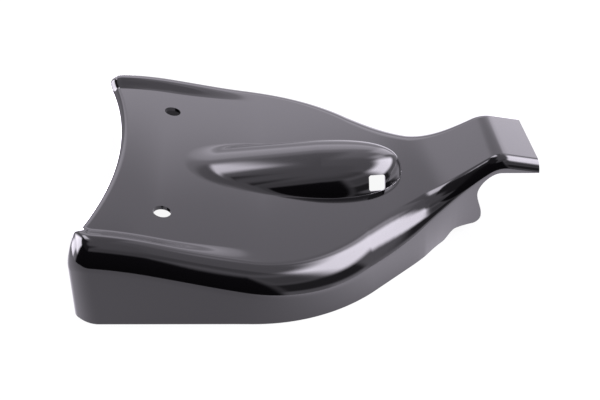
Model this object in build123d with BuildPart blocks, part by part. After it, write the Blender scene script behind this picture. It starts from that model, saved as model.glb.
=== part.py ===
from build123d import *
import os
from math import atan, cos, radians, sin, sqrt, tan

os.makedirs("parts", exist_ok=True)

# Frame cover: one thin shell with a dished top, side walls and an end wall, open underneath
# and open at the neck. Millimetres. "Along" runs from the wide end to the neck end.

# Overall
length = 270.0
percent = length / 100
corner_overhang = 2.56
centre_along = (length - corner_overhang) / 2
wall = 2.5

# Plan outline, half widths at the top of the side walls
wide_half = 97.0
side_spread = 0.058
bend_radius = 98.0
slant_angle = 41.0
slant_along = 69.63 * percent
slant_half = 58.0
waist_radius = 75.0
neck_half = 28.0
tuck_to = 13.0
tuck_length = 14.0
tuck_depth = 7.0

# Crest line of the side ridges: along, height, slope
crest_start = (-2.2 * percent, 51.1, 0.0)
crest_shoulder = (16.67 * percent, 44.4, -0.26)
crest_fall = (40.74 * percent, 29.6, -0.14)
crest_low = (65.93 * percent, 25.5, 0.0)
crest_rise = (78.52 * percent, 31.0, 0.42)
crest_top = (90.93 * percent, 50.2, 0.62)
neck_slope = -0.20
crease_reach = 6.0
droop_to = 9.0
droop_length = 11.0
droop_depth = 4.5

# Ridge rounding, size across and size down, at percents of the length
round_across = ((0, 14.0), (22, 14.0), (44, 16.0), (56, 18.0), (67, 18.0), (76, 13.0), (87, 8.0), (100, 7.5))
round_down = ((0, 14.0), (22, 14.0), (44, 15.0), (63, 14.0), (76, 11.0), (87, 7.5), (100, 7.0))

# How far the foot of the side wall stands out, at percents of the length
foot_out = ((0, 1.2), (35, 1.2), (48, 2.5), (59, 3.5), (74, 5.5), (82, 1.0), (100, 0.5))

# Raised ridges beside the valley of the top
ridge_height = 3.2
ridge_slope_width = 10.0
ridge_fade_from = 45.0
ridge_fade_to = 105.0

# Wide end: hollow curve in plan with a leaning wall
end_hollow_along = 15.8
end_hollow_radius = 230.0
end_hollow_side = 4.0
end_lean = 2.0
end_lean_height = 46.0
end_round = 5.0
end_inner_cut = 1.5

# Long bulge on the middle of the top
bulge_half = 29.0
bulge_base = 21.5
bulge_rise_nose = 15.2
bulge_rise = 20.6
bulge_start = 17.8 * percent
bulge_nose = 24.1 * percent
bulge_full = 51.85 * percent
bulge_reach = 19.26 * percent
bulge_blunt = 0.994
bulge_foot_round = 2.5
plan_power = 2.2
rise_power = 4.0

# Holes
bolt_hole = 10.0
bolt_along = 47.9
bolt_spacing = 106.0
clip_width = 10.3
clip_height = 9.5
clip_corner = 1.5
clip_past_full = 34.2
clip_side = 0.72 * bulge_half
clip_level = 30.9
clip_tilt = 31.0
clip_depth = 14.0

# Trim of the side wall near the neck
tab_start = length - 57.0
tab_lift = 5.0
tab_lift_along = length - 48.0
tab_end = length - 32.0
tab_corner = 5.0
tab_waist = length - 36.2
tab_waist_height = 26.0
neck_edge_start = length - 23.0
neck_edge = 40.3
neck_edge_end = 39.2
waist_lean = -0.15
lift_slope = 0.1

# Cuts reach this far past the faces that they cut
cut_reach = 6.0
trim_reach = 24.0

# Sections: evenly spaced from behind the wide end to the neck end
start_margin = 1.5
end_sag = end_hollow_radius - sqrt(end_hollow_radius**2 - wide_half**2)
body_start = end_hollow_along - end_sag - start_margin
section_count = 46
section_step = (length - body_start) / section_count
bulge_count = 15
quarter = 0.5523


def between(along, stops):
    """Straight-line value between stops given in percents of the length."""
    at = along / percent
    if at <= stops[0][0]:
        return stops[0][1]
    for (a, p), (b, q) in zip(stops[:-1], stops[1:]):
        if at <= b:
            return p + (q - p) * (at - a) / (b - a)
    return stops[-1][1]


def ease(t):
    t = min(max(t, 0.0), 1.0)
    return t * t * (3 - 2 * t)


def outline(along):
    """Half width and its slope: side line, bend arc, slant, waist arc, neck."""
    fall = tan(radians(slant_angle))
    cross = (slant_half + fall * slant_along - wide_half) / (side_spread + fall)
    top = wide_half + side_spread * cross
    turn = atan(side_spread)
    reach = bend_radius * tan((turn + radians(slant_angle)) / 2)
    bend_from = cross - reach * cos(turn)
    bend_to = cross + reach * cos(radians(slant_angle))
    mid_along = bend_from + bend_radius * sin(turn)
    mid_half = top - reach * sin(turn) - bend_radius * cos(turn)
    corner = slant_along + (slant_half - neck_half) / fall
    waist_reach = waist_radius * tan(radians(slant_angle) / 2)
    waist_from = corner - waist_reach * cos(radians(slant_angle))
    waist_to = corner + waist_reach
    if along < bend_from:
        tuck = max(tuck_to - along, 0.0) / tuck_length
        half = wide_half + side_spread * along - tuck_depth * tuck * tuck
        return half, side_spread + 2 * tuck_depth * tuck / tuck_length
    if along < bend_to:
        root = sqrt(bend_radius**2 - (along - mid_along) ** 2)
        return mid_half + root, (mid_along - along) / root
    if along < waist_from:
        return slant_half - fall * (along - slant_along), -fall
    if along < waist_to:
        root = sqrt(waist_radius**2 - (along - waist_to) ** 2)
        return neck_half + waist_radius - root, (along - waist_to) / root
    return neck_half, 0.0


def crest(along):
    """Height and slope of the ridge line: droop at the wide end, soft crease before the neck end."""
    knots = (crest_start, crest_shoulder, crest_fall, crest_low, crest_rise, crest_top)
    crease, peak, climb = crest_top
    if abs(along - crease) < crease_reach:
        t = along - crease + crease_reach
        bend = (climb - neck_slope) / (4 * crease_reach)
        return peak - climb * crease_reach + climb * t - bend * t * t, climb - 2 * bend * t
    if along > crease:
        return peak + neck_slope * (along - crease), neck_slope
    for (a, za, ma), (b, zb, mb) in zip(knots[:-1], knots[1:]):
        if along <= b:
            h = b - a
            t = (along - a) / h
            z = (2 * t**3 - 3 * t**2 + 1) * za + (t**3 - 2 * t**2 + t) * h * ma
            z += (3 * t**2 - 2 * t**3) * zb + (t**3 - t**2) * h * mb
            m = (6 * t**2 - 6 * t) * (za - zb) / h + (3 * t**2 - 4 * t + 1) * ma + (3 * t**2 - 2 * t) * mb
            droop = max(droop_to - along, 0.0) / droop_length
            return z - droop_depth * droop * droop, m + 2 * droop_depth * droop / droop_length


def bulge_size(along):
    """Half width and rise of the bulge section."""
    rise = bulge_rise_nose + (bulge_rise - bulge_rise_nose) * (along - bulge_nose) / (bulge_full - bulge_nose)
    if along <= bulge_full:
        return bulge_half, rise
    u = (along - bulge_full) / bulge_reach
    return bulge_half * (1 - u**plan_power) ** (1 / plan_power), bulge_rise * (1 - u**rise_power) ** (1 / rise_power)


def top_body(inset):
    """Filled body of the cover without the bulge, moved inward by the inset on every side."""
    low = -cut_reach
    last = section_count if inset == 0 else section_count + 1
    with BuildPart() as body:
        for k in range(last + 1):
            along = body_start + k * section_step
            half, slope = outline(along)
            height, climb = crest(along)
            skew = sqrt(1 + slope * slope)
            shoulder = half - between(along, round_across) * skew
            side = half - inset * skew
            top = height - inset * sqrt(1 + climb * climb)
            bend = height - between(along, round_down)
            lean = between(along, foot_out) * skew / bend
            foot = side + lean * (bend - low)
            across = side - shoulder
            down = top - bend
            fade = 1 - ease((along - ridge_fade_from) / (ridge_fade_to - ridge_fade_from))
            floor = top - ridge_height * fade
            flat = shoulder - ridge_slope_width
            soft = ridge_slope_width / 3
            with BuildSketch(Plane.YZ.offset(along - centre_along)):
                with BuildLine():
                    Line((foot, low), (-foot, low))
                    Line((-foot, low), (-side, bend))
                    Bezier(
                        (-side, bend),
                        (-side + quarter * down * lean, bend + quarter * down),
                        (-shoulder - (1 - quarter) * across, top),
                        (-shoulder, top),
                    )
                    Bezier((-shoulder, top), (-shoulder + soft, top), (-flat - soft, floor), (-flat, floor))
                    Line((-flat, floor), (flat, floor))
                    Bezier((flat, floor), (flat + soft, floor), (shoulder - soft, top), (shoulder, top))
                    Bezier(
                        (shoulder, top),
                        (shoulder + (1 - quarter) * across, top),
                        (side - quarter * down * lean, bend + quarter * down),
                        (side, bend),
                    )
                    Line((side, bend), (foot, low))
                make_face()
        loft()
        # hollow, leaning wide end
        tall = max(crest_start[1], crest_top[1]) + cut_reach
        spread = end_lean / end_lean_height
        with Locations((end_hollow_along - end_hollow_radius - centre_along, end_hollow_side, low - cut_reach)):
            Cone(
                end_hollow_radius + inset + spread * (low - cut_reach),
                end_hollow_radius + inset + spread * tall,
                tall + cut_reach - low,
                rotation=(0, 0, 180),
                align=(Align.CENTER, Align.CENTER, Align.MIN),
                mode=Mode.SUBTRACT,
            )
        # rounded end edge outside, cut corner inside
        end_edges = body.faces().filter_by(GeomType.CONE)[0].edges().sort_by(Axis.Z)[1:]
        if inset == 0:
            fillet(end_edges, end_round)
        else:
            chamfer(end_edges, end_inner_cut)
    return body.part


def bulge_body(inset):
    """Bulge by itself, down to its base line."""
    end = bulge_full + bulge_blunt * bulge_reach
    with BuildPart() as hump:
        for k in range(bulge_count + 1):
            along = bulge_start + (end - bulge_start) * sin(radians(90 * k / bulge_count))
            half, rise = bulge_size(along)
            with BuildSketch(Plane.YZ.offset(along - centre_along)):
                with Locations((0, bulge_base)):
                    Ellipse(half - inset, rise - inset)
        loft()
    return hump.part


def shell_body(inset):
    """Filled body with the bulge and the soft seam where it leaves the top."""
    with BuildPart() as body:
        add(top_body(inset))
        add(bulge_body(inset))
        seam = body.edges().filter_by(
            lambda e: e.center().Z > bulge_base - inset - 1
            and abs(e.center().Y) < bulge_half + 1
            and bulge_start < e.center().X + centre_along < bulge_full + bulge_reach
            and max(abs((e @ 0).Y), abs((e @ 1).Y)) < bulge_half + 1
        )
        if inset == 0:
            fillet(seam, bulge_foot_round)
    return body.part


with BuildPart() as frame_cover:
    add(shell_body(0))
    add(shell_body(wall), mode=Mode.SUBTRACT)
    # lower edge of the side walls: level foot, tab, hollow corner, neck edge
    wide = 2 * (wide_half + bend_radius)
    with BuildSketch(Plane.XZ.offset(-wide / 2)):
        with BuildLine():
            under = -trim_reach
            back = (body_start - cut_reach - centre_along, 0)
            start = (tab_start - centre_along, 0)
            lift = (tab_lift_along - centre_along, tab_lift)
            corner = (tab_end - tab_corner - centre_along, tab_lift)
            turn = (tab_end - centre_along, tab_lift + tab_corner)
            waist = (tab_waist - centre_along, tab_waist_height)
            neck = (neck_edge_start - centre_along, neck_edge)
            tip = (length + cut_reach - centre_along, neck_edge_end)
            Line((back[0], under), back)
            Line(back, start)
            Spline(start, lift, tangents=((1, lift_slope), (1, 0)))
            Line(lift, corner)
            TangentArc(corner, turn, tangent=(1, 0))
            Spline(turn, waist, tangents=((0, 1), (waist_lean, 1)))
            Spline(waist, neck, tangents=((waist_lean, 1), (1, 0)))
            Line(neck, tip)
            Line(tip, (tip[0], under))
            Line((tip[0], under), (back[0], under))
        make_face()
    extrude(amount=wide, mode=Mode.SUBTRACT)
    # two upright bolt holes
    with BuildSketch(Plane.XY.offset(bulge_base)):
        with Locations((bolt_along - centre_along, -bolt_spacing / 2), (bolt_along - centre_along, bolt_spacing / 2)):
            Circle(bolt_hole / 2)
    extrude(amount=2 * bulge_base, mode=Mode.SUBTRACT)
    # square clip hole on the flank of the bulge
    clip_plane = Plane(
        origin=(bulge_full + clip_past_full - centre_along, -clip_side, clip_level),
        x_dir=(1, 0, 0),
        z_dir=(0, -cos(radians(clip_tilt)), sin(radians(clip_tilt))),
    )
    with BuildSketch(clip_plane.offset(-clip_depth / 2)):
        RectangleRounded(clip_width, clip_height, clip_corner)
    extrude(amount=clip_depth, mode=Mode.SUBTRACT)

frame_cover.part.label = "frame_cover"
export_step(frame_cover.part, "parts/frame_cover.step")
box = frame_cover.part.bounding_box()
print(box, frame_cover.part.volume, len(frame_cover.part.solids()), frame_cover.part.is_valid)
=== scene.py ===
import math

import bmesh
import bpy
import numpy as np
from mathutils import Matrix, Vector
from mathutils.bvhtree import BVHTree


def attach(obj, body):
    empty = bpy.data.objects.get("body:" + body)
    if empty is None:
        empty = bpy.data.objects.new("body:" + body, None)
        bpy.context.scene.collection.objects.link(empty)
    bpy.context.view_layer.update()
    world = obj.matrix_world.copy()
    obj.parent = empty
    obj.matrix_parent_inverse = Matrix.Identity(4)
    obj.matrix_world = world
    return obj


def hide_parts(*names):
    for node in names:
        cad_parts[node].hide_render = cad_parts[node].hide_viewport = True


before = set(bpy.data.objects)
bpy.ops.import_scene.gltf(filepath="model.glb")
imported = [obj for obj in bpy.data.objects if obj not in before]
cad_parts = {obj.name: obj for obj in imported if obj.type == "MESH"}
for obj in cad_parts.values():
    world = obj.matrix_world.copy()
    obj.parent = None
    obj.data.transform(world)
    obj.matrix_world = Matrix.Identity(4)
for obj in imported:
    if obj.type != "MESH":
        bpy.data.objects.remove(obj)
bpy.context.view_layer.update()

# The cover's skin in millimetres. "Along" runs from the wide end to the neck end, y is measured
# from the middle and z from the foot. CENTRE is the place along that lies at the frame's x = 0.
LENGTH, CENTRE, WALL = 270.0, 133.72, 2.5

# Plan outline: half widths, the slant and the arcs beside it, the tuck at the wide end
WIDE_HALF, SPREAD, BEND_R, SLANT = 97.0, 0.058, 98.0, math.radians(41.0)
SLANT_AT, SLANT_HALF, WAIST_R, NECK_HALF = 188.0, 58.0, 75.0, 28.0
TUCK_TO, TUCK_LEN, TUCK = 13.0, 14.0, 8.0

# Ridge line: (along, height, slope), the droop at the wide end and the crease before the neck end
CREST = [
    (-6.0, 51.1, 0.0),
    (45.0, 44.4, -0.26),
    (110.0, 29.6, -0.14),
    (178.0, 25.5, 0.0),
    (212.0, 31.0, 0.42),
    (245.5, 50.2, 0.62),
]
NECK_SLOPE, CREASE = -0.20, 6.0
DROOP_TO, DROOP_LEN, DROOP = 11.0, 12.0, 6.5

# Ridge rounding across and down, and how far the foot of the wall stands out: (along, size)
ACROSS = [(0, 14.0), (60, 14.0), (120, 16.0), (150, 18.0), (180, 18.0), (205, 13.0), (235, 8.0), (270, 7.5)]
DOWN = [(0, 14.0), (60, 14.0), (120, 15.0), (170, 14.0), (205, 11.0), (235, 7.5), (270, 7.0)]
FOOT = [(0, 1.2), (95, 1.2), (130, 2.5), (160, 3.5), (200, 5.5), (222, 1.0), (270, 0.5)]
EASING = ((-8, 1), (-4, 2), (0, 3), (4, 2), (8, 1))  # shift along and weight, to soften those stops
ROUND_PULL = 0.5523  # handle length of a Bezier quarter round

# Hollow of the top beside the ridges
RIDGE, RIDGE_SLOPE, FADE_A, FADE_B = 3.2, 10.0, 45.0, 105.0

# Wide end: hollow in plan, leaning, with a rounded edge that is larger on the side walls
END_AT, END_R, END_SIDE = 15.8, 230.0, 4.0
TAN_LEAN = 2.0 / 46.0
END_ROUND, WALL_ROUND = 5.0, 9.0
WALL_ROUND_TO = 0.4  # share of the ridge rounding that keeps the larger radius
AXIS_AT = END_AT - END_R
END_FOOT_IN = 0.12  # share by which the end wall's columns close in at the foot

# Bulge on the middle of the top
B_HALF, B_BASE, B_NOSE_RISE, B_RISE = 29.0, 21.5, 15.2, 20.6
B_NOSE, B_FULL, B_REACH, B_BLEND = 65.0, 140.0, 52.0, 2.2
B_PLAN, B_END = 2.2, 4  # powers of its blunt end, in plan and in height
B_DIVE = 10  # slope below the base line, outside its own outline
SEAM_ROOM = 64.0  # square millimetres that keep the seam's columns apart where the bulge ends

# Trim of the side wall near the neck: (along, height) of its corners, and slopes
TAB_START, TAB_LIFT, TAB_END, TAB_CORNER = (213.0, -0.01), (222.0, 5.0), 238.0, 5.0
WAIST, NECK_EDGE = (233.8, 26.0), (247.0, 40.3)
LEVEL, UPRIGHT, LIFT_SLOPE, WAIST_LEAN = (1, 0), (0, 1), (1, 0.1), (-0.15, 1)
TRIM_TIP, TRIM_UNDER, TRIM_SIDE = (276.0, 39.1), -10.0, 150.0

# Holes
BOLT_AT, BOLT_SIDE, BOLT_R, BOLT_FROM, BOLT_TO = 47.9, 53.0, 5.0, 20.0, 60.0
CLIP_WIDE, CLIP_HIGH, CLIP_CORNER, CLIP_TILT = 10.3, 9.5, 1.5, math.radians(31)
CLIP_AT, CLIP_SIDE, CLIP_LEVEL, CLIP_CUT = 174.2, -20.9, 30.9, 7.0

# Mesh: steps of the half section's zones (wall, ridge rounding, ridge slope, flat, bulge), rows
# past ROWS_FROM, which lie denser at the blunt end of the bulge, and rows of the end
ZONE_STEPS = (12, 24, 12, 30, 40)
WALL_ZONE, ROLL_ZONE, SLOPE_ZONE, FLAT_ZONE, BULGE_ZONE = range(5)
ROWS_FROM = 30
N_BLEND, N_ROUND, N_WALL = 16, 8, 10
SEARCH_FROM, SEARCH_TO, SEARCH_STEPS = -6.0, 34.0, 26

columns = [(zone, k / n) for zone, n in enumerate(ZONE_STEPS) for k in range(n)] + [(BULGE_ZONE, 1.0)]
N_COL = len(columns)
FIRST_TOP = ZONE_STEPS[WALL_ZONE] + ZONE_STEPS[ROLL_ZONE]
rows = list(np.linspace(ROWS_FROM, 182, 112)[:-1])
rows += list(np.linspace(182, 194, 28)[:-1])
rows += list(np.linspace(194, LENGTH, 62))


def soft_lin(a, stops):
    """Stops joined by straight lines whose corners are eased."""
    xs = np.array([s[0] for s in stops], float)
    ys = np.array([s[1] for s in stops], float)
    total = 0
    for shift, weight in EASING:
        total = total + weight * np.interp(a + shift, xs, ys)
    return total / sum(weight for _, weight in EASING)


def ease(t):
    t = np.clip(t, 0, 1)
    return t * t * (3 - 2 * t)


def smax(p, q, k):
    """The larger of two heights, with a soft seam of reach k."""
    h = np.clip(k - np.abs(p - q), 0, None) / k
    return np.maximum(p, q) + h * h * k / 4


def outline(a):
    """Half width and its slope: side line, bend arc, slant, waist arc, neck."""
    fall = math.tan(SLANT)
    cross = (SLANT_HALF + fall * SLANT_AT - WIDE_HALF) / (SPREAD + fall)
    top = WIDE_HALF + SPREAD * cross
    turn = math.atan(SPREAD)
    reach = BEND_R * math.tan((turn + SLANT) / 2)
    bend_from = cross - reach * math.cos(turn)
    bend_to = cross + reach * math.cos(SLANT)
    mid_along = bend_from + BEND_R * math.sin(turn)
    mid_half = top - reach * math.sin(turn) - BEND_R * math.cos(turn)
    corner = SLANT_AT + (SLANT_HALF - NECK_HALF) / fall
    waist_reach = WAIST_R * math.tan(SLANT / 2)
    waist_from = corner - waist_reach * math.cos(SLANT)
    waist_to = corner + waist_reach
    tuck = np.clip(TUCK_TO - a, 0, None) / TUCK_LEN
    bend = np.sqrt(np.clip(BEND_R**2 - (a - mid_along) ** 2, 1, None))
    waist = np.sqrt(np.clip(WAIST_R**2 - (a - waist_to) ** 2, 1, None))
    zones = [a < bend_from, a < bend_to, a < waist_from, a < waist_to]
    halves = [
        WIDE_HALF + SPREAD * a - TUCK * tuck**2,
        mid_half + bend,
        SLANT_HALF - fall * (a - SLANT_AT),
        NECK_HALF + WAIST_R - waist,
    ]
    slopes = [
        SPREAD + 2 * TUCK * tuck / TUCK_LEN,
        (mid_along - a) / bend,
        -fall + 0 * a,
        (a - waist_to) / waist,
    ]
    return np.select(zones, halves, NECK_HALF), np.select(zones, slopes, 0.0)


def crest(a):
    """Height of the ridge line."""
    at, peak, climb = CREST[-1]
    z = peak + NECK_SLOPE * (a - at)
    for (x0, z0, m0), (x1, z1, m1) in reversed(list(zip(CREST[:-1], CREST[1:]))):
        h = x1 - x0
        t = (a - x0) / h
        v = (2 * t**3 - 3 * t**2 + 1) * z0 + (t**3 - 2 * t**2 + t) * h * m0
        v = v + (3 * t**2 - 2 * t**3) * z1 + (t**3 - t**2) * h * m1
        z = np.where(a <= x1, v, z)
    z = z - DROOP * (np.clip(DROOP_TO - a, 0, None) / DROOP_LEN) ** 2
    t = a - at + CREASE
    bend = (climb - NECK_SLOPE) / (4 * CREASE)
    return np.where(np.abs(a - at) < CREASE, peak - climb * CREASE + climb * t - bend * t * t, z)


def bulge(a, y):
    """Height of the bulge, with its half width and its rise at that place along."""
    rise = B_NOSE_RISE + (B_RISE - B_NOSE_RISE) * (a - B_NOSE) / (B_FULL - B_NOSE)
    u = np.clip((a - B_FULL) / B_REACH, 0, 0.99999)
    half = B_HALF * (1 - u**B_PLAN) ** (1 / B_PLAN)
    rise = np.where(a > B_FULL, B_RISE * (1 - u**B_END) ** (1 / B_END), rise)
    z = B_BASE + rise * np.sqrt(np.clip(1 - (y / half) ** 2, 0, None))
    z = z - B_DIVE * np.clip(np.abs(y) - half, 0, None)
    return z - B_DIVE * np.clip(a - B_FULL - B_REACH, 0, None), half, rise


def bezier(u, p0, p1, p2, p3):
    return (1 - u) ** 3 * p0 + 3 * u * (1 - u) ** 2 * p1 + 3 * u * u * (1 - u) * p2 + u**3 * p3


def section(a, zone, u):
    """Points (y, z) with y >= 0 of the outer skin's half section at distance a."""
    a = np.asarray(a, float)
    u = np.asarray(u, float)
    half, slope = outline(a)
    height = crest(a)
    skew = np.sqrt(1 + slope**2)
    shoulder = half - soft_lin(a, ACROSS) * skew
    bend = height - soft_lin(a, DOWN)
    lean = soft_lin(a, FOOT) * skew / bend
    foot = half + lean * bend
    down = height - bend
    fade = 1 - ease((a - FADE_A) / (FADE_B - FADE_A))
    floor = height - RIDGE * fade
    flat = shoulder - RIDGE_SLOPE
    if zone == WALL_ZONE:
        return foot + (half - foot) * u, bend * u
    if zone == ROLL_ZONE:
        side_pull = half - ROUND_PULL * down * lean
        top_pull = shoulder + (1 - ROUND_PULL) * (half - shoulder)
        y = bezier(u, half, side_pull, top_pull, shoulder)
        return y, bezier(u, bend, bend + ROUND_PULL * down, height, height)
    if zone == SLOPE_ZONE:
        return shoulder - RIDGE_SLOPE * u, height - (height - floor) * ease(u)
    _, bulge_half, rise = bulge(a, 0 * a)
    inner = np.clip(1 - (np.clip(floor - B_BASE, 0, None) / rise) ** 2, 0, None) * bulge_half**2
    seam = np.minimum(np.sqrt(inner + SEAM_ROOM), flat - 1.5)
    if zone == FLAT_ZONE:
        y = seam + (flat - seam) * (1 - u) ** 1.5
    else:
        y = seam * np.cos(u * math.pi / 2)
    return y, smax(floor, bulge(a, y)[0], B_BLEND)


def point(a, zone, u):
    y, z = section(a, zone, u)
    return np.stack([np.broadcast_to(a, np.shape(y)), y, z], -1)


def normal(a, zone, u):
    """Outward normals of the outer skin, from small steps along and across it."""
    d = 0.004
    u0, u1 = max(u - d, 0.0), min(u + d, 1.0)
    da = point(a + 0.15, zone, u) - point(a - 0.15, zone, u)
    du = point(a, zone, u1) - point(a, zone, u0)
    n = np.cross(da, du)
    n /= np.linalg.norm(n, axis=-1, keepdims=True)
    flip = np.where((n[..., 1] * 0.5 + n[..., 2]) < 0, -1.0, 1.0)
    return n * flip[..., None]


def end_gap(p, side):
    """Signed distance from the leaning, hollow wide end."""
    cosg = 1 / math.sqrt(1 + TAN_LEAN**2)
    return (np.hypot(p[0] - AXIS_AT, side * p[1] - END_SIDE) - (END_R + TAN_LEAN * p[2])) * cosg


def end_normal(p, side):
    r = np.array([p[0] - AXIS_AT, side * p[1] - END_SIDE])
    r = r / np.linalg.norm(r)
    n = np.array([-r[0], -r[1] * side, TAN_LEAN])
    return n / np.linalg.norm(n)


def end_point(y, z, side):
    reach = (END_R + TAN_LEAN * z) ** 2 - (side * y - END_SIDE) ** 2
    return np.array([AXIS_AT + math.sqrt(reach), y, z])


def end_round(zone, u):
    """Radius of the end rounding: large on wall and ridge, small on the top."""
    if zone == WALL_ZONE:
        return WALL_ROUND
    if zone == ROLL_ZONE:
        share = float(ease((u - WALL_ROUND_TO) / (1 - WALL_ROUND_TO)))
        return WALL_ROUND + (END_ROUND - WALL_ROUND) * share
    return END_ROUND


def column(zone, u, side):
    """Points and normals of one column from the neck end to the lower edge of the end rounding."""
    ball = end_round(zone, u)
    lo, hi = SEARCH_FROM, SEARCH_TO
    for _ in range(SEARCH_STEPS):
        mid = (lo + hi) / 2
        a = np.array([mid])
        c = point(a, zone, u)[0] - ball * normal(a, zone, u)[0]
        if end_gap(c, side) < ball:
            lo = mid
        else:
            hi = mid
    start = (lo + hi) / 2
    near = np.linspace(start, ROWS_FROM, N_BLEND + 1)[:-1]
    a = np.concatenate([near, rows])[::-1]
    p, n = point(a, zone, u), normal(a, zone, u)
    centre = p[-1] - ball * n[-1]
    ne = end_normal(centre, side)
    turn = math.acos(max(min(float(n[-1] @ ne), 1), -1))
    ps, ns = [], []
    for k in range(1, N_ROUND + 1):
        t = k / N_ROUND
        m = (math.sin((1 - t) * turn) * n[-1] + math.sin(t * turn) * ne) / math.sin(turn)
        ps.append(centre + ball * m)
        ns.append(m)
    return np.concatenate([p, ps]), np.concatenate([n, ns])


def half_shell(side):
    """Outer skin of one side, given with y >= 0: its columns, then the end wall down to its foot."""
    both = [column(zone, u, side) for zone, u in columns]
    skin, skin_n = np.array([c[0] for c in both]), np.array([c[1] for c in both])
    edge = skin[:, -1]
    wall_p, wall_n = [], []
    for j in range(N_COL):
        if j <= FIRST_TOP:
            y_foot = edge[0, 1] * (1 - END_FOOT_IN * j / FIRST_TOP)
        else:
            y_foot = (1 - END_FOOT_IN) * edge[0, 1] * edge[j, 1] / edge[FIRST_TOP, 1]
        ps = []
        for k in range(1, N_WALL + 1):
            t = k / N_WALL
            ps.append(end_point(edge[j, 1] + (y_foot - edge[j, 1]) * t, edge[j, 2] * (1 - t), side))
        wall_p.append(ps)
        wall_n.append([end_normal(q, side) for q in ps])
    skin = np.concatenate([skin, np.array(wall_p)], 1)
    skin_n = np.concatenate([skin_n, np.array(wall_n)], 1)
    skin[0, :, 2] = 0.0
    skin[:, -1, 2] = 0.0
    skin[..., 2] = np.clip(skin[..., 2], 0, None)
    return skin, skin_n


def metres(p):
    q = np.array(p, float).reshape(-1, 3).copy()
    q[:, 0] -= CENTRE
    return q / 1000.0


def grid_faces(c, r, base, flip):
    faces = []
    for i in range(c - 1):
        for j in range(r - 1):
            corner = base + i * r + j
            q = [corner, corner + 1, corner + r + 1, corner + r]
            faces.append(q[::-1] if flip else q)
    return faces


def grid_border(c, r, base):
    """Vertices round the edge of a grid, in order."""
    ring = [(i, 0) for i in range(c)] + [(c - 1, j) for j in range(1, r)]
    ring += [(i, r - 1) for i in range(c - 2, -1, -1)] + [(0, j) for j in range(r - 2, 0, -1)]
    return [base + i * r + j for i, j in ring]


def add_object(name, mesh):
    made = bpy.data.objects.new(name, mesh)
    bpy.context.scene.collection.objects.link(made)
    return made


# Outer skin: both halves side by side
near_p, near_n = half_shell(-1)
far_p, far_n = half_shell(1)
mirror = np.array([1.0, -1.0, 1.0])
outer_p = np.concatenate([near_p * mirror, far_p[:-1][::-1]])
outer_n = np.concatenate([near_n * mirror, far_n[:-1][::-1]])
outer_n[N_COL - 1, : -N_ROUND - N_WALL, 1] = 0.0
outer_n /= np.linalg.norm(outer_n, axis=-1, keepdims=True)
C, R = outer_p.shape[:2]

# Inner skin: every second point, one wall further in
inner_p = (outer_p - WALL * outer_n)[::2, ::2]
inner_n = -outer_n[::2, ::2]
inner_p[0, :, 2] = inner_p[-1, :, 2] = inner_p[:, -1, 2] = 0.0
inner_p[..., 2] = np.clip(inner_p[..., 2], 0, None)
inner_p[:, 0, 0] = LENGTH
CI, RI = inner_p.shape[:2]

# Rim between them: one face from each inner edge to its two outer edges
outer_faces = grid_faces(C, R, 0, False)
border_o, border_i = grid_border(C, R, 0), grid_border(CI, RI, C * R)
rim = []
for k in range(len(border_i)):
    a, b, c = border_o[2 * k], border_o[2 * k + 1], border_o[(2 * k + 2) % len(border_o)]
    rim.append([border_i[k], border_i[(k + 1) % len(border_i)], c, b, a])
verts = np.concatenate([metres(outer_p), metres(inner_p)])
mesh = bpy.data.meshes.new("cover_skin")
mesh.from_pydata(verts.tolist(), [], outer_faces + grid_faces(CI, RI, C * R, True) + rim)
mesh.validate()
shell = add_object("cover_skin", mesh)

bm = bmesh.new()
bm.from_mesh(mesh)
bmesh.ops.remove_doubles(bm, verts=bm.verts, dist=2e-6)
bmesh.ops.dissolve_degenerate(bm, edges=bm.edges, dist=1e-7)
bmesh.ops.recalc_face_normals(bm, faces=bm.faces)
volume = bm.calc_volume(signed=True)
if volume < 0:
    bmesh.ops.reverse_faces(bm, faces=bm.faces)
open_edges = sum(1 for e in bm.edges if len(e.link_faces) != 2)
bm.to_mesh(mesh)
bm.free()
print("volume cm3", volume * 1e6, "open edges", open_edges, "faces", len(mesh.polygons))


# Cutters: lower trim of the walls, bolt holes, square clip hole

def cutter(name, low, high):
    """Closed solid between two rings of points in metres."""
    n = len(low)
    faces = [list(range(n)), list(range(2 * n - 1, n - 1, -1))]
    faces += [[k, n + k, n + (k + 1) % n, (k + 1) % n] for k in range(n)]
    made = bpy.data.meshes.new(name)
    made.from_pydata(low + high, [], faces)
    fix = bmesh.new()
    fix.from_mesh(made)
    bmesh.ops.recalc_face_normals(fix, faces=fix.faces)
    fix.to_mesh(made)
    fix.free()
    return add_object(name, made)


def peg(name, ring, origin, xd, yd, zd, lo, hi):
    """Straight cutter on a ring of points in metres, from lo to hi along zd."""
    low, high = ([tuple(origin + xd * x + yd * y + zd * z) for x, y in ring] for z in (lo, hi))
    return cutter(name, low, high)


def hermite(p, q, tp, tq, n):
    """Smooth curve of n steps from p to q, with the directions tp and tq at its ends."""
    p, q = np.array(p, float), np.array(q, float)
    d = np.linalg.norm(q - p)
    tp = np.array(tp, float) / np.linalg.norm(tp) * d
    tq = np.array(tq, float) / np.linalg.norm(tq) * d
    t = np.linspace(0, 1, n + 1)[:, None]
    line = (2 * t**3 - 3 * t**2 + 1) * p + (t**3 - 2 * t**2 + t) * tp
    return (line + (3 * t**2 - 2 * t**3) * q + (t**3 - t**2) * tq).tolist()


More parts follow.
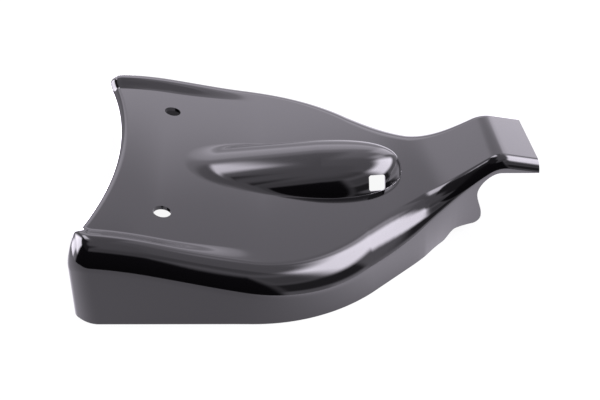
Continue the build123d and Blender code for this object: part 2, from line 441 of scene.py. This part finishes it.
mid = (TAB_END - TAB_CORNER, TAB_LIFT[1] + TAB_CORNER)
trim = [(TAB_START[0], TRIM_UNDER)]
trim += hermite(TAB_START, TAB_LIFT, LIFT_SLOPE, LEVEL, 10)
trim += [(mid[0] + TAB_CORNER * math.sin(t), mid[1] - TAB_CORNER * math.cos(t)) for t in np.linspace(0, math.pi / 2, 9)]
trim += hermite((TAB_END, mid[1]), WAIST, UPRIGHT, WAIST_LEAN, 14)[1:]
trim += hermite(WAIST, NECK_EDGE, WAIST_LEAN, LEVEL, 18)[1:]
trim += [TRIM_TIP, (TRIM_TIP[0], TRIM_UNDER)]
sides = ([((x - CENTRE) / 1000, y / 1000, z / 1000) for x, z in trim] for y in (-TRIM_SIDE, TRIM_SIDE))
cutters = [cutter("cut_trim", *sides)]

X, Y, Z = Vector((1, 0, 0)), Vector((0, 1, 0)), Vector((0, 0, 1))
bolt_r = BOLT_R / 1000
circle = [(bolt_r * math.cos(t), bolt_r * math.sin(t)) for t in np.linspace(0, 2 * math.pi, 65)[:-1]]
for side in (-1, 1):
    origin = Vector(((BOLT_AT - CENTRE) / 1000, side * BOLT_SIDE / 1000, 0))
    cutters.append(peg("cut_bolt", circle, origin, X, Y, Z, BOLT_FROM / 1000, BOLT_TO / 1000))

w, h = CLIP_WIDE / 2 - CLIP_CORNER, CLIP_HIGH / 2 - CLIP_CORNER
square = []
for cx, cy, start in ((w, h, 0), (-w, h, 90), (-w, -h, 180), (w, -h, 270)):
    for k in range(7):
        t = math.radians(start + 15 * k)
        square.append(((cx + CLIP_CORNER * math.cos(t)) / 1000, (cy + CLIP_CORNER * math.sin(t)) / 1000))
outward = Vector((0, -math.cos(CLIP_TILT), math.sin(CLIP_TILT)))
origin = Vector(((CLIP_AT - CENTRE) / 1000, CLIP_SIDE / 1000, CLIP_LEVEL / 1000))
cutters.append(peg("cut_clip", square, origin, X, outward.cross(X), outward, -CLIP_CUT / 1000, CLIP_CUT / 1000))

for tool in cutters:
    cut = shell.modifiers.new(tool.name, "BOOLEAN")
    cut.operation = "DIFFERENCE"
    cut.solver = "EXACT"
    cut.object = tool
bpy.context.view_layer.update()
done = bpy.data.meshes.new_from_object(shell.evaluated_get(bpy.context.evaluated_depsgraph_get()))
for tool in cutters:
    bpy.data.objects.remove(tool)
shell.modifiers.clear()
shell.data = done
shell.name = "frame_cover_skin"
print("after cuts", len(done.polygons), "faces")

# True surface normals, so that reflections run smoothly up to every cut edge
NEAR_SKIN = 4e-5  # metres within which a face belongs to a skin
grids = []
for p, n, faces in (
    (metres(outer_p), outer_n.reshape(-1, 3), outer_faces),
    (metres(inner_p), inner_n.reshape(-1, 3), grid_faces(CI, RI, 0, True)),
):
    tris = [t for q in faces for t in ((q[0], q[1], q[2]), (q[0], q[2], q[3]))]
    grids.append((p, n, tris, BVHTree.FromPolygons(p.tolist(), tris, all_triangles=True)))


def skin_normal(grid, co):
    """Normal of the skin at the place nearest to co, and the distance to it."""
    p, n, tris, tree = grid
    loc, _, idx, dist = tree.find_nearest(co)
    a, b, c = tris[idx]
    pa, pb, pc = p[a], p[b], p[c]
    v0, v1, v2 = pb - pa, pc - pa, np.array(loc) - pa
    d00, d01, d11, d20, d21 = v0 @ v0, v0 @ v1, v1 @ v1, v2 @ v0, v2 @ v1
    den = d00 * d11 - d01 * d01
    if den < 1e-20:
        m = n[a]
    else:
        s, t = (d11 * d20 - d01 * d21) / den, (d00 * d21 - d01 * d20) / den
        m = (1 - s - t) * n[a] + s * n[b] + t * n[c]
    return m / np.linalg.norm(m), dist


done.polygons.foreach_set("use_smooth", [True] * len(done.polygons))
known = [{}, {}]
loops = [None] * len(done.loops)
for poly in done.polygons:
    face_n = np.array(poly.normal)
    owner = None
    for g, grid in enumerate(grids):
        m, dist = skin_normal(grid, poly.center)
        if dist < NEAR_SKIN and m @ face_n > 0.5:
            owner = g
            break
    for li in poly.loop_indices:
        vi = done.loops[li].vertex_index
        m = face_n
        if owner is not None:
            if vi not in known[owner]:
                known[owner][vi] = skin_normal(grids[owner], done.vertices[vi].co)[0]
            if known[owner][vi] @ face_n > 0.3:
                m = known[owner][vi]
        loops[li] = tuple(m)
done.normals_split_custom_set(loops)

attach(shell, "root")
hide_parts("frame_cover")


# Nodes

def fresh_nodes(holder):
    holder.use_nodes = True
    holder.node_tree.nodes.clear()
    return holder.node_tree


def wire(nt, value, socket):
    if isinstance(value, (int, float)):
        socket.default_value = value
    else:
        nt.links.new(value, socket)


def maths(nt, op, a, b=None, c=None):
    node = nt.nodes.new("ShaderNodeMath")
    node.operation = op
    for value, socket in zip((a, b, c), node.inputs):
        if value is not None:
            wire(nt, value, socket)
    return node.outputs[0]


def product(nt, first, *others):
    for other in others:
        first = maths(nt, "MULTIPLY", first, other)
    return first


def soft_step(nt, value, lo, hi):
    """0 below lo, 1 above hi."""
    node = nt.nodes.new("ShaderNodeMapRange")
    node.interpolation_type = "SMOOTHSTEP"
    wire(nt, value, node.inputs[0])
    for k, v in enumerate((lo, hi, 0, 1)):
        node.inputs[k + 1].default_value = v
    return node.outputs[0]


def soft_drop(nt, value, lo, hi):
    """1 below lo, 0 above hi."""
    return maths(nt, "SUBTRACT", 1, soft_step(nt, value, lo, hi))


def filled(nt, kind, colour, strength):
    """Emission or Background node."""
    node = nt.nodes.new(kind)
    node.inputs["Color"].default_value = colour
    wire(nt, strength, node.inputs["Strength"])
    return node.outputs[0]


def by_camera(nt, other, camera):
    """One shader for the camera's own rays, another for all the rest."""
    path = nt.nodes.new("ShaderNodeLightPath")
    either = nt.nodes.new("ShaderNodeMixShader")
    nt.links.new(path.outputs["Is Camera Ray"], either.inputs[0])
    nt.links.new(other, either.inputs[1])
    nt.links.new(camera, either.inputs[2])
    return either.outputs[0]


WHITE = (1, 1, 1, 1)
STUDIO_TINT = (1.0, 0.949, 1.07, 1)

black = bpy.data.materials.new("gloss_black")
nt = fresh_nodes(black)
bsdf = nt.nodes.new("ShaderNodeBsdfPrincipled")
bsdf.inputs["Base Color"].default_value = (0.0012, 0.0011, 0.0013, 1)
bsdf.inputs["Roughness"].default_value = 0.07
bsdf.inputs["IOR"].default_value = 1.52
nt.links.new(bsdf.outputs[0], nt.nodes.new("ShaderNodeOutputMaterial").inputs[0])
done.materials.clear()
done.materials.append(black)

# Floor: the camera sees it plain and pale. Every other ray sees painted light in its glow, set by place in metres:
# brighter to the right, painted shade behind, and a painted pool of light on each side, for the cover's reflections.
TABLE_X, TABLE_Y, TABLE_Z = (-0.45, 0.6), (-0.32, 0.5), -0.0003
TABLE_SEEN, TABLE_GREY = 0.93, 0.05
# Levels of the painted light in the floor's glow: base, more to the right, painted shade behind, painted pools on the
# sides
PAINTED_LIGHT_LEVEL, PAINTED_LIGHT_RIGHT, PAINTED_SHADE_BEHIND, PAINTED_LIGHT_POOL = 1.25, 2.3, 0.55, 9.0


# Painted light and shade: the level of the floor's glow by place
def painted_floor_light(nt):
    place = nt.nodes.new("ShaderNodeNewGeometry")
    split = nt.nodes.new("ShaderNodeSeparateXYZ")
    nt.links.new(place.outputs["Position"], split.inputs[0])
    x, y, _ = split.outputs
    # painted light: the glow rises towards the right
    level = maths(nt, "MULTIPLY_ADD", soft_step(nt, x, -0.06, 0.12), PAINTED_LIGHT_RIGHT, PAINTED_LIGHT_LEVEL)
    # painted shade: the glow weakens behind the cover
    behind = product(nt, soft_step(nt, y, -0.06, 0.06), soft_drop(nt, x, 0.12, 0.20))
    level = product(nt, level, maths(nt, "SUBTRACT", 1, product(nt, behind, PAINTED_SHADE_BEHIND)))
    # painted pools of light, one on the right and one on the left
    right = product(
        nt, soft_step(nt, x, 0.215, 0.25), soft_step(nt, y, -0.115, -0.085), soft_drop(nt, y, 0.03, 0.06)
    )
    left = product(
        nt, soft_step(nt, x, -0.25, -0.22), soft_drop(nt, x, -0.14, -0.12),
        soft_step(nt, y, -0.01, 0.03), soft_drop(nt, y, 0.18, 0.22),
    )
    for painted_pool in (right, left):
        level = maths(nt, "ADD", level, product(nt, painted_pool, PAINTED_LIGHT_POOL))
    return level


floor_mesh = bpy.data.meshes.new("floor")
corners = [(0, 0), (1, 0), (1, 1), (0, 1)]
floor_mesh.from_pydata([(TABLE_X[i], TABLE_Y[j], TABLE_Z) for i, j in corners], [], [(0, 1, 2, 3)])
floor = add_object("floor", floor_mesh)
floor_white = bpy.data.materials.new("floor_white")
nt = fresh_nodes(floor_white)
grey = nt.nodes.new("ShaderNodeBsdfDiffuse")
grey.inputs["Color"].default_value = (TABLE_GREY, TABLE_GREY, TABLE_GREY, 1)
# the painted light of the floor's glow, seen by every ray but the camera's
painted_floor_glow = filled(nt, "ShaderNodeEmission", STUDIO_TINT, painted_floor_light(nt))
plain = filled(nt, "ShaderNodeEmission", WHITE, TABLE_SEEN)
both = nt.nodes.new("ShaderNodeAddShader")
nt.links.new(grey.outputs[0], both.inputs[0])
nt.links.new(by_camera(nt, painted_floor_glow, plain), both.inputs[1])
nt.links.new(both.outputs[0], nt.nodes.new("ShaderNodeOutputMaterial").inputs[0])
floor_mesh.materials.append(floor_white)

# Camera, as fitted to the photograph
AZ, EL = math.radians(3.445314), math.radians(37.679948)
FOCAL_PX, PHOTO_WIDTH, SENSOR = 853.11676, 600, 36
cam_data = bpy.data.cameras.new("camera")
cam_data.lens = FOCAL_PX / PHOTO_WIDTH * SENSOR
cam_data.sensor_width = SENSOR
cam_data.sensor_fit = "HORIZONTAL"
cam_data.clip_start = 0.01
cam = add_object("camera", cam_data)
fwd = Vector((math.sin(AZ) * math.cos(EL), math.cos(AZ) * math.cos(EL), -math.sin(EL)))
right = Vector((math.cos(AZ), -math.sin(AZ), 0))
up = right.cross(fwd)
place = Vector(((102.61664 - CENTRE) / 1000, -0.43149594, 0.33784940))
cam.matrix_world = Matrix((
    (right.x, up.x, -fwd.x, place.x),
    (right.y, up.y, -fwd.y, place.y),
    (right.z, up.z, -fwd.z, place.z),
    (0, 0, 0, 1),
))
bpy.context.scene.camera = cam
bpy.context.scene.view_settings.view_transform = "Standard"

# World: an even level with soft patches, later ones over earlier ones. Each patch is azimuth from
# and to (0 towards the camera's side, 90 to the right), elevation from and to, softness of each, in
# degrees. OPEN lies past the half turn, so that the patch goes on to the azimuth's own end.
OPEN = 400
WORLD_LEVEL = 1.75
PATCHES = (
    ([(-OPEN, OPEN, 70, 100, 1, 16)], 1.15),
    ([(60, OPEN, 60, 76, 10, 10)], 1.3),
    ([(154, OPEN, 16, 34, 12, 6), (-OPEN, -148, 16, 34, 10, 6)], 2.6),
    ([(170, OPEN, 42, 76, 6, 8), (-OPEN, -172, 42, 76, 6, 8)], 1.1),
    ([(150, OPEN, -30, 12, 10, 10), (-OPEN, -158, -30, 12, 10, 10)], 1.1),
    ([(-150, -15, 50, 80, 12, 10)], 0.15),
    ([(-15, 60, 60, 74, 12, 12)], 0.8),
    ([(-148, -128, 2, 50, 8, 8)], 1.0),
    ([(-158, -124, -40, 4, 10, 8)], 0.7),
    ([(-86, 24, -30, 61, 10, 8)], 0.02),
    ([(24, 76, 6, 32, 8, 10)], 0.2),
    ([(24, 52, 32, 56, 12, 12)], 0.8),
    ([(24, 50, -30, 6, 8, 8)], 1.4),
    ([(50, 76, -30, 4, 8, 10)], 2.4),
    ([(76, 140, -12, 36, 8, 10)], 1.4),
    ([(140, 160, 10, 42, 8, 10)], 4.0),
    ([(120, 146, 44, 58, 14, 10)], 4.5),
    ([(62, 124, 31, 61, 20, 12)], 15.0),
    ([(-128, -87, 12, 49, 12, 10)], 15.0),
    ([(-120, -101, -8, 16, 8, 8)], 10.0),
    ([(-170, -148, 44, 64, 6, 10)], 9.0),
)

world = bpy.data.worlds.new("studio")
bpy.context.scene.world = world
nt = fresh_nodes(world)
coord = nt.nodes.new("ShaderNodeTexCoord")
split = nt.nodes.new("ShaderNodeSeparateXYZ")
nt.links.new(coord.outputs["Generated"], split.inputs[0])
sx, sy, sz = split.outputs
elevation = product(nt, maths(nt, "ARCSINE", sz), 180 / math.pi)
azimuth = product(nt, maths(nt, "ARCTAN2", sx, product(nt, sy, -1)), 180 / math.pi)


def window(value, lo, hi, soft):
    rising = soft_step(nt, value, lo - soft / 2, lo + soft / 2)
    falling = soft_step(nt, value, hi - soft / 2, hi + soft / 2)
    return maths(nt, "SUBTRACT", rising, falling)


light = WORLD_LEVEL
for spots, level in PATCHES:
    for az0, az1, el0, el1, soft_az, soft_el in spots:
        mask = product(nt, window(azimuth, az0, az1, soft_az), window(elevation, el0, el1, soft_el))
        light = maths(nt, "MULTIPLY_ADD", mask, level, product(nt, light, maths(nt, "SUBTRACT", 1, mask)))
around = filled(nt, "ShaderNodeBackground", STUDIO_TINT, light)
backdrop = filled(nt, "ShaderNodeBackground", WHITE, 1.0)
nt.links.new(by_camera(nt, around, backdrop), nt.nodes.new("ShaderNodeOutputWorld").inputs[0])
